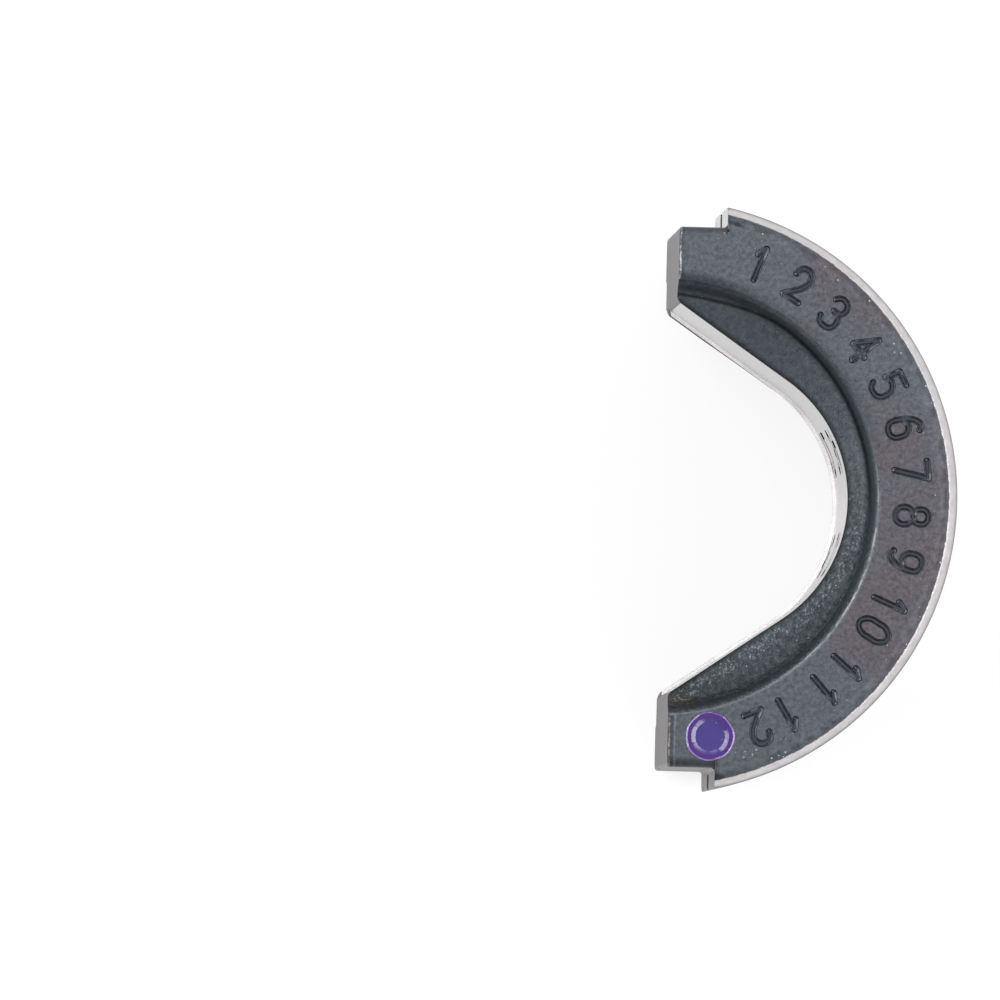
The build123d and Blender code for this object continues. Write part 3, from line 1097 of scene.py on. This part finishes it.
def dot_centre(s, d):
    """Where the dot's axis meets the end face, in millimetres."""
    reach = s.nest_radius - d.inset
    return reach * cos(d.direction), reach * sin(d.direction)


def spot_tool(s, d):
    """The drill that makes the spot for the enamel."""
    bm, _ = wire([(0, -d.spot_depth), (d.spot_radius, -d.spot_depth), (d.spot_radius, 1), (0, 1)])
    turn(bm, 64)
    x, y = dot_centre(s, d)
    bmesh.ops.translate(bm, vec=(x, y, s.die_length), verts=bm.verts)
    return object_from_bmesh(bm, "spot_tool")


def enamel_dot(s, d):
    """The enamel: a plug in the spot, lapped over its rim, with a dished middle."""
    top, sunk = d.height - 0.002, d.height - d.dish_depth
    bm, verts = wire([
        (0, -d.spot_depth), (d.spot_radius, -d.spot_depth), (d.spot_radius, 0),
        (d.radius, 0), (d.radius, 0.02), (d.radius - 0.17, top), (1.38, top), (0.97, sunk),
        (0.6, sunk), (0, sunk),
    ])
    round_corners(bm, verts, ((4, 0.02, 3), (5, 0.05, 4), (6, 0.04, 4), (7, 0.1, 6)))
    turn(bm, 96)
    for vert in bm.verts:
        angle, from_axis = Vector((1, 0)).angle_signed(vert.co.xy, 0.0), vert.co.xy.length
        if from_axis > 0.9 and vert.co.z > -0.2:
            wobble = 0.012 * sin(3 * angle + 0.7) + 0.008 * sin(7 * angle + 2.1)
            vert.co.xy *= 1 + wobble
    x, y = dot_centre(s, d)
    bmesh.ops.translate(bm, vec=(x, y, s.die_length), verts=bm.verts)
    return object_from_bmesh(bm, "enamel_dot")


def aim(obj, point, target, up):
    """Places a lamp or the camera at a point, looking at a target."""
    back = (point - target).normalized()
    across = up.cross(back).normalized()
    turned = Matrix((across, back.cross(across), back)).transposed().to_4x4()
    obj.matrix_world = Matrix.Translation(point) @ turned


def soft_lamp(azimuth, tall, radiance, target):
    """A long soft box over the floor, turned to a target and lit to a radiance where white is 1."""
    data = bpy.data.lights.new(f"lamp_{azimuth}", "AREA")
    data.shape = "RECTANGLE"
    data.size, data.size_y = LAMP_WIDTH, tall
    data.energy = radiance * pi * LAMP_WIDTH * tall
    around = radians(azimuth)
    away = Vector((cos(around) * cos(LAMP_RISE), sin(around) * cos(LAMP_RISE), sin(LAMP_RISE)))
    aim(object_from(data, data.name), target + away * LAMP_DISTANCE, target, Vector((0, 0, 1)))


def seen(f):
    """1 for camera, glossy and transmission rays, 0 for the rays that carry light to a surface."""
    rays = f.node("ShaderNodeLightPath").socket.node.outputs
    kinds = [Field(f, rays[f"Is {kind} Ray"]) for kind in ("Camera", "Glossy", "Transmission")]
    return f.math("MINIMUM", kinds[0] + kinds[1] + kinds[2], 1.0)


class CRIMP_DIE_OT_steel_body(bpy.types.Operator):
    """Build the steel body with its numbers, in place of the plain solid"""

    bl_idname = "crimp_die.steel_body"
    bl_label = "Steel body"

    def execute(self, context):
        scene = context.scene
        s = die_plan(scene.die_sizes)
        body = die_steel(s, in_millimetres(scene.mark_sizes), in_millimetres(scene.dot_sizes))
        finishes = [make(scene.die_colours, s) for make in (
            back_finish, end_finish, cast_finish, lead_in_finish, bore_finish, land_finish, mark_finish,
        )]
        slots = [
            STAMPED_MARK if p.material_index == STAMPED_MARK else finish_of(s, p.center, p.normal)
            for p in body.data.polygons
        ]
        body.name = "steel_body"
        dress(body, finishes, slots)
        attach(body, "root")
        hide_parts(BODY_NODE)
        return {"FINISHED"}


class CRIMP_DIE_OT_colour_dot(bpy.types.Operator):
    """Build the enamel dot on the marked end face"""

    bl_idname = "crimp_die.colour_dot"
    bl_label = "Colour dot"

    def execute(self, context):
        scene = context.scene
        s, d = die_plan(scene.die_sizes), in_millimetres(scene.dot_sizes)
        dot = enamel_dot(s, d)
        dress(dot, [enamel_finish(scene.die_colours, s, d)])
        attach(dot, "root")
        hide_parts(DOT_NODE)
        return {"FINISHED"}


class CRIMP_DIE_OT_stage(bpy.types.Operator):
    """Lay the floor, hang the lamps and set up the camera"""

    bl_idname = "crimp_die.stage"
    bl_label = "Stage"

    def execute(self, context):
        scene, settings = context.scene, context.scene.stage_settings
        bm = bmesh.new()
        bmesh.ops.create_grid(bm, x_segments=1, y_segments=1, size=settings.floor_size / 2)
        floor = object_from_bmesh(bm, "floor")
        f = Finish("pale_floor")
        cloth = f.node("ShaderNodeBsdfDiffuse", sockets={"Color": (*settings.floor, 1.0)})
        glow = f.node("ShaderNodeEmission", sockets={"Strength": seen(f) * FLOOR_GLOW})
        both = f.node("ShaderNodeAddShader", sockets={0: cloth, 1: glow})
        f.node("ShaderNodeOutputMaterial", sockets={"Surface": both})
        floor.data.materials.append(f.material)

        world = bpy.data.worlds.new("studio")
        world.use_nodes = True
        scene.world = world
        f = Finish("studio", world.node_tree)
        sky = f.node("ShaderNodeBackground", sockets={
            "Color": (1, 1, 1, 1), "Strength": settings.sky + seen(f) * (1 - settings.sky),
        })
        f.node("ShaderNodeOutputWorld", sockets={"Surface": sky})

        low, high = CAD_BOX
        for lamp in LAMPS:
            soft_lamp(*lamp, (low + high) / 2)

        data = bpy.data.cameras.new("camera")
        camera = object_from(data, "camera")
        target = Vector((*VIEW_CENTRE, BODY_HIGH.z / MM))
        point = Vector((*CAMERA_PLACE, target.z + CAMERA_HEIGHT))
        aim(camera, point, target, Vector((-sin(CAMERA_ROLL), cos(CAMERA_ROLL), 0)))
        data.lens = data.sensor_width * (point - target).length / VIEW_WIDTH
        data.clip_start, data.clip_end = 0.1, 20
        scene.camera = camera
        scene.view_settings.view_transform = "Standard"
        return {"FINISHED"}


class CRIMP_DIE_PT_panel(bpy.types.Panel):
    """Lists the pieces of the die with their sizes and colours"""

    bl_idname = "CRIMP_DIE_PT_panel"
    bl_label = "Crimping die"
    bl_space_type = "VIEW_3D"
    bl_region_type = "UI"
    bl_category = "Crimping die"

    def draw(self, context):
        for operator in OPERATORS:
            self.layout.operator(operator.bl_idname)
        for group in SETTINGS:
            box = self.layout.box()
            settings = getattr(context.scene, group)
            for key in settings.bl_rna.properties.keys():
                if key not in ("rna_type", "name"):
                    box.prop(settings, key)


SETTINGS = {
    "die_sizes": DieSizes, "mark_sizes": MarkSizes, "dot_sizes": DotSizes,
    "die_colours": DieColours, "stage_settings": StageSettings,
}
OPERATORS = (CRIMP_DIE_OT_steel_body, CRIMP_DIE_OT_colour_dot, CRIMP_DIE_OT_stage)


def register():
    for cls in (*SETTINGS.values(), *OPERATORS, CRIMP_DIE_PT_panel):
        bpy.utils.register_class(cls)
    for name, cls in SETTINGS.items():
        setattr(bpy.types.Scene, name, PointerProperty(type=cls))


def unregister():
    for name in SETTINGS:
        delattr(bpy.types.Scene, name)
    for cls in (CRIMP_DIE_PT_panel, *OPERATORS, *SETTINGS.values()):
        bpy.utils.unregister_class(cls)


def main():
    """Builds the die and its studio."""
    register()
    bpy.ops.crimp_die.steel_body()
    bpy.ops.crimp_die.colour_dot()
    bpy.ops.crimp_die.stage()


if __name__ == "__main__":
    main()
